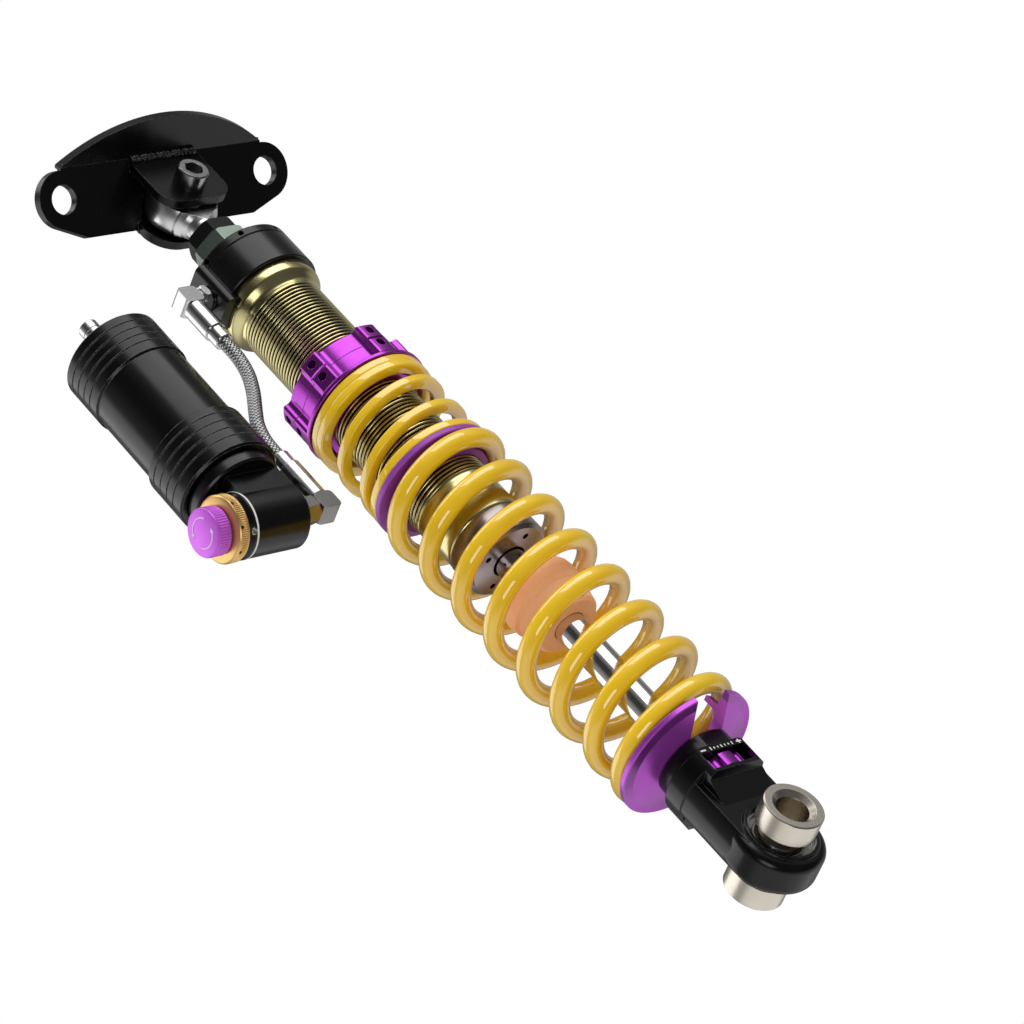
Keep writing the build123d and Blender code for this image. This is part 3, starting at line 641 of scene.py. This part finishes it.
def knurled(name, profile, teeth, depth, low, high, material, body, replaced):
    """Lathe-turned dial along X with a straight knurl between two heights."""
    def grip(angle, radius, height):
        if not low < height < high:
            return radius
        edge = min(1.0, (height - low) / 0.5, (high - height) / 0.5)
        return radius - depth * edge * abs(math.sin(teeth * angle / 2)) ** 1.5
    points, faces = lathe(profile, teeth * 6, "x", (0, 0, VALVE_Z), grip)
    return make_piece(name, points, faces, material, body, replaced, weld=True)


def spaced(low, high, count):
    return [low + (high - low) * k / count for k in range(count + 1)]


def bump_dials():
    ring = [(9.62, -142.1), (9.62, -149.1), (16.8, -149.1), (17.5, -148.8), (18.0, -148.2)]
    ring += [(18.15, x) for x in spaced(-147.9, -143.0, 8)] + [(18.0, -142.6), (17.5, -142.1)]
    knurled("bump_ring_dial", ring, 96, 0.30, -147.9, -143.0, ring_gold, "bump_dial_ring", ["bump_ring"])
    knob = [(0.0, KNOB_FACE_X), (12.0, KNOB_FACE_X), (12.8, -158.8), (13.1, -158.2)]
    knob += [(13.2, x) for x in spaced(-158.0, -150.8, 8)]
    knob += [(13.0, -150.4), (12.6, -150.1), (5.0, -150.1), (5.0, -155.4), (0.0, -155.4)]
    knurled("bump_knob_dial", knob, 56, 0.30, -158.0, -150.8, knob_violet, "bump_dial_knob", ["bump_knob"])


bump_dials()


# ---- weld and painted marks ----

def round_outline(radius, count):
    """Corners of a flat circle."""
    return [(radius * math.cos(angle), radius * math.sin(angle))
            for angle in (2 * math.pi * k / count for k in range(count))]


def ear_weld():
    """Stacked-coin weld bead in the corner between the front ear and the flange."""
    half_length, plate_front, height = 23.5, -15.5, 565.9
    step, ripple, sides = 0.35, 2.7, 18
    rings = []
    count = round(2 * half_length / step)
    for k in range(count + 1):
        x = -half_length + k * step
        wander = 0.25 * math.sin(x * 0.9) + 0.15 * math.sin(x * 2.3 + 1)
        coin = abs(math.sin(math.pi * (x / ripple + 0.10 * math.sin(x * 1.7)))) ** 0.6
        end = min(1.0, 0.45 + (x + half_length) / 2.0, 0.45 + (half_length - x) / 2.0)
        radius = (1.7 + 1.3 * coin + wander * 0.5) * end
        middle = Vector((x, plate_front - 0.6, height + wander * 0.3))
        section = round_outline(radius, sides)
        rings.append([middle + Vector((0.45 * across, across, up)) for across, up in section])
    points, faces = sweep(rings)
    make_piece("ear_weld", points, faces, weld_black, "bracket", sharp=70)


def plate_mark(outline, place, right, up, height=0.12):
    """Thin slab of paint from an outline in two directions of a flat face."""
    right, up, place = Vector(right), Vector(up), Vector(place)
    out = right.cross(up).normalized()
    low = [place + right * x + up * y - out * 0.05 for x, y in outline]
    high = [point + out * (height + 0.05) for point in low]
    count = len(outline)
    faces = [tuple(range(count)), tuple(range(count, 2 * count))]
    faces += [(k, (k + 1) % count, count + (k + 1) % count, count + k) for k in range(count)]
    return low + high, faces


def joined(shapes):
    points, faces = [], []
    for some_points, some_faces in shapes:
        start = len(points)
        points += some_points
        faces += [tuple(start + index for index in face) for face in some_faces]
    return points, faces


def bar(x, y, wide, high):
    left, right, low, top = x - wide / 2, x + wide / 2, y - high / 2, y + high / 2
    return [(left, low), (right, low), (right, top), (left, top)]


def rebound_marks():
    """Minus, plus and a row of ticks above the window of the rebound wheel."""
    place, right, up = (0, -20.5, 54.6), (1, 0, 0), (0, 0, 1)
    minus, plus = [bar(-12.8, -0.1, 3.6, 1.0)], [bar(12.2, 0, 3.4, 1.0)]
    plus += [bar(12.2, 0.95, 1.0, 0.9), bar(12.2, -0.95, 1.0, 0.9)]
    outlines = minus + plus
    outlines += [bar(-7.5 + 2.5 * k, 0, 0.8, 2.1 if k % 3 == 0 else 1.3) for k in range(7)]
    points, faces = joined([plate_mark(outline, place, right, up) for outline in outlines])
    make_piece("rebound_marks", points, faces, white_paint, "rod")


def index_band():
    """Painted white ring on the dial boss."""
    profile = [(17.4, -137.4), (17.95, -137.4), (17.95, -136.3), (17.4, -136.3)]
    points, faces = lathe(profile, 120, "x", (0, 0, VALVE_Z))
    make_piece("boss_index_band", points, faces, white_paint, "damper")


def painted_groove_highlights():
    """Pale rings on the lip of each groove turned in the reservoir: a painted highlight where the edges
    catch the light.
    """
    low, high = box_mm("reservoir_tube")
    centre, lower_radius = (low.x + high.x) / 2, (high.x - low.x) / 2
    grooves = [(z, RESERVOIR_UPPER_R) for z in UPPER_GROOVES] + [(z, lower_radius) for z in LOWER_GROOVES]
    inset, proud, wide = 0.1, 0.03, 0.14
    shapes = []
    for height, radius in grooves:
        for lip in (height - 0.62, height + 0.52):
            inner, outer, top = radius - inset, radius + proud, lip + wide
            profile = [(inner, lip), (outer, lip), (outer, top), (inner, top)]
            shapes.append(lathe(profile, 120, "z", (centre, 0, 0)))
    points, faces = joined(shapes)
    make_piece("painted_groove_highlights", points, faces, groove_highlight_grey, "damper")


def gas_valve():
    """Turned stem of the gas valve with a small cap on its end."""
    low, high = box_mm("gas_valve")
    centre, top, stem = (low.x + high.x) / 2, high.z - 2.5, 5.6
    profile = [(0.0, low.z), (stem, low.z), (stem, top - 6.4), (5.3, top - 6.2), (5.3, top - 5.8)]
    profile += [(stem, top - 5.6), (stem, top - 0.7), (4.9, top)]
    profile += [(1.6, top), (1.6, top - 1.2), (0.0, top - 1.2)]
    points, faces = lathe(profile, 72, "z", (centre, 0, 0))
    make_piece("gas_valve_stem", points, faces, clean_steel, "damper", ["gas_valve"],
               weld=True)


def ring_dots():
    """Dark discs round the rim of the dial ring: painted shade standing in for detent holes."""
    rim, middle, along = 18.1, Vector((-147.0, 0, VALVE_Z)), (1, 0, 0)
    shapes = []
    for step in range(8):
        angle = math.radians(-88 + 45 * step)
        out = Vector((0, math.cos(angle), math.sin(angle)))
        shapes.append(plate_mark(round_outline(0.95, 16), middle + out * rim, along, out.cross(along), 0.08))
    points, faces = joined(shapes)
    make_piece("ring_dots", points, faces, painted_hole_shade, "bump_dial_ring")


def knob_arrows():
    """Two curved arrows on the face of the knob."""
    inner, outer, step, pieces = 7.6, 8.5, 8, 14
    shapes = []

    def add(corners):
        outline = [(r * math.cos(math.radians(a)), r * math.sin(math.radians(a))) for r, a in corners]
        shapes.append(plate_mark(outline, (KNOB_FACE_X - 0.08, 0, VALVE_Z), (0, 1, 0), (0, 0, -1), 0.06))

    for start in (200, 20):
        for k in range(pieces):
            here, there = start + k * step, start + (k + 1) * step
            add([(inner, here), (inner, there), (outer, there), (outer, here)])
        bend_end = start + pieces * step
        add([(6.6, bend_end), (9.5, bend_end), (8.05, bend_end + 18)])
    points, faces = joined(shapes)
    make_piece("knob_arrows", points, faces, pale_print, "bump_dial_knob")


ear_weld()
rebound_marks()
index_band()
painted_groove_highlights()
gas_valve()
ring_dots()
knob_arrows()


# ---- finishes of the CAD nodes ----

FINISHES = {
    black_anodised: ["top_cap"],
    dark_nut: ["jam_nut"],
    zinc: ["hub_nut"],
    eye_black: ["lower_eye"],
    reservoir_black: ["reservoir_tube", "reservoir_end_cap"],
    head_black: ["valve_head"],
    bracket_black: ["top_bracket"],
    violet: ["rebound_wheel", "perch_nut", "lock_ring"],
    plate_violet: ["lower_spring_plate"],
    spacer_violet: ["spring_spacer"],
    gland_steel: ["guide_cap"],
    nickel: ["front_sleeve", "rear_sleeve"],
    race_steel: ["lower_race", "lower_circlips", "lower_ball", "upper_ball", "upper_bushes"],
    rod_end_steel: ["rod_end"],
    dull_steel: ["lower_elbow", "lower_union"],
    bolt_metal: ["clevis_bolt", "clevis_nut"],
    clean_steel: ["upper_union", "upper_elbow", "upper_hose_end", "lower_hose_end", "gas_valve",
                  "bleed_screw", "piston_nut", "shim_stack"],
    chrome: ["piston_rod"],
    bare_aluminium: ["piston", "floating_piston"],
    bronze: ["guide_bush"],
    polymer: ["lower_liner", "upper_liner", "piston_band"],
    seal_rubber: ["rod_seal", "piston_o_ring"],
    foam: ["bump_stop"],
}


def paint_nodes():
    for material, names in FINISHES.items():
        for name in names:
            node = NODES[name]
            if not node.material_slots:
                node.data.materials.append(material)
            for holder in node.material_slots:
                holder.material = material


paint_nodes()


# ---- stage and light ----

FLOOR_Z = -1.30
CENTRE = Vector((0, 0, 0.28))


def make_floor():
    half = 6.0
    mesh = bpy.data.meshes.new("floor")
    corners = [(x * half, y * half, FLOOR_Z) for x, y in ((-1, -1), (1, -1), (1, 1), (-1, 1))]
    mesh.from_pydata(corners, [], [(0, 1, 2, 3)])
    surface = Surface("floor", 0.0, 0.8, specular=0.2)
    surface.colour(surface.mixed(surface.noise(1.5, 2), srgb(236, 236, 236), srgb(228, 228, 228)))
    mesh.materials.append(surface.material)
    floor = bpy.data.objects.new("floor", mesh)
    floor.visible_glossy = floor.visible_diffuse = False
    bpy.context.scene.collection.objects.link(floor)


def soft_box(name, azimuth, elevation, distance, width, height, power):
    """Area light at a direction from the middle of the strut, turned towards it."""
    angle, rise = math.radians(azimuth), math.radians(elevation)
    away = Vector((math.cos(angle) * math.cos(rise), math.sin(angle) * math.cos(rise), math.sin(rise)))
    data = bpy.data.lights.new(name, "AREA")
    data.shape = "RECTANGLE"
    data.size, data.size_y, data.energy = width, height, power
    light = bpy.data.objects.new(name, data)
    light.location = CENTRE + away * distance
    light.rotation_euler = away.to_track_quat("Z", "Y").to_euler()
    light.visible_camera = False
    bpy.context.scene.collection.objects.link(light)


# Brightness of the studio's walls by azimuth, in degrees.
ROOM = [
    (0, 0.33), (25, 0.42), (50, 0.14), (75, 0.18), (100, 0.32), (125, 0.42), (145, 0.40), (170, 0.25),
    (192, 0.05), (218, 0.04), (240, 0.22), (256, 0.40), (290, 0.45), (312, 0.35), (326, 0.20), (338, 0.12),
    (360, 0.33),
]


def make_world():
    """White behind the object; for light and reflections, a dark studio with pale walls and a lit floor."""
    world = bpy.data.worlds.new("studio")
    bpy.context.scene.world = world
    world.use_nodes = True
    tree = world.node_tree
    tree.nodes.clear()

    def maths(operation, first, second=0.0):
        made = tree.nodes.new("ShaderNodeMath")
        made.operation = operation
        for socket, value in zip(made.inputs, (first, second)):
            if isinstance(value, bpy.types.NodeSocket):
                tree.links.new(value, socket)
            else:
                socket.default_value = value
        return made.outputs[0]

    def ramped(value, low, high, to_low, to_high):
        made = tree.nodes.new("ShaderNodeMapRange")
        made.interpolation_type = "SMOOTHSTEP"
        tree.links.new(value, made.inputs[0])
        for index, number in enumerate((low, high, to_low, to_high)):
            made.inputs[index + 1].default_value = number
        return made.outputs[0]

    direction = tree.nodes.new("ShaderNodeTexCoord").outputs["Generated"]
    split = tree.nodes.new("ShaderNodeSeparateXYZ")
    tree.links.new(direction, split.inputs[0])
    x, y, z = split.outputs

    # Walls: brightness by azimuth.
    turn = maths("FRACT", maths("DIVIDE", maths("ARCTAN2", y, x), 2 * math.pi))
    walls = tree.nodes.new("ShaderNodeValToRGB")
    tree.links.new(turn, walls.inputs[0])
    stops = walls.color_ramp.elements
    while len(stops) > 1:
        stops.remove(stops[-1])
    stops[0].position, stops[0].color = 0.0, (ROOM[0][1],) * 3 + (1.0,)
    for angle, value in ROOM[1:]:
        stops.new(angle / 360).color = (value, value, value, 1.0)
    band = maths("MULTIPLY", ramped(z, -0.25, 0.10, 0.12, 1.0), ramped(z, 0.75, 1.0, 1.0, 0.5))
    room_light = maths("MULTIPLY", walls.outputs[0], band)

    # Floor: lit behind the object, dark in front of it.
    behind = maths("ADD", maths("MULTIPLY", x, 0.26), maths("MULTIPLY", y, 0.97))
    below = ramped(z, 0.05, -0.35, 0.0, 0.85)
    floor_light = maths("MULTIPLY", below, ramped(behind, -0.10, 0.40, 0.06, 1.0))
    mirrored = maths("ADD", room_light, floor_light)

    # Matt surfaces see an even pale room, so that their colour stays full on the shadow side.
    paths = tree.nodes.new("ShaderNodeLightPath")
    matt = paths.outputs["Is Diffuse Ray"]
    even = ramped(z, -1.0, 1.0, 0.55, 0.75)
    gloss_part = maths("MULTIPLY", mirrored, maths("SUBTRACT", 1.0, matt))
    blended = maths("ADD", gloss_part, maths("MULTIPLY", even, matt))
    room = tree.nodes.new("ShaderNodeBackground")
    tree.links.new(blended, room.inputs[1])
    white = tree.nodes.new("ShaderNodeBackground")
    room.inputs[0].default_value = white.inputs[0].default_value = (1, 1, 1, 1)
    white.inputs[1].default_value = 1.0
    seen = paths.outputs["Is Camera Ray"]
    mix = tree.nodes.new("ShaderNodeMixShader")
    out = tree.nodes.new("ShaderNodeOutputWorld")
    tree.links.new(seen, mix.inputs[0])
    tree.links.new(room.outputs[0], mix.inputs[1])
    tree.links.new(white.outputs[0], mix.inputs[2])
    tree.links.new(mix.outputs[0], out.inputs[0])


make_floor()
make_world()
soft_box("key", 277, 31, 2.2, 2.1, 1.6, 22)
soft_box("side", 122, 30, 2.0, 1.6, 1.4, 9)
soft_box("under", 200, -45, 1.2, 0.5, 0.5, 2)
soft_box("top", 200, 80, 2.0, 1.4, 1.4, 12)
bpy.context.scene.view_settings.view_transform = "Standard"
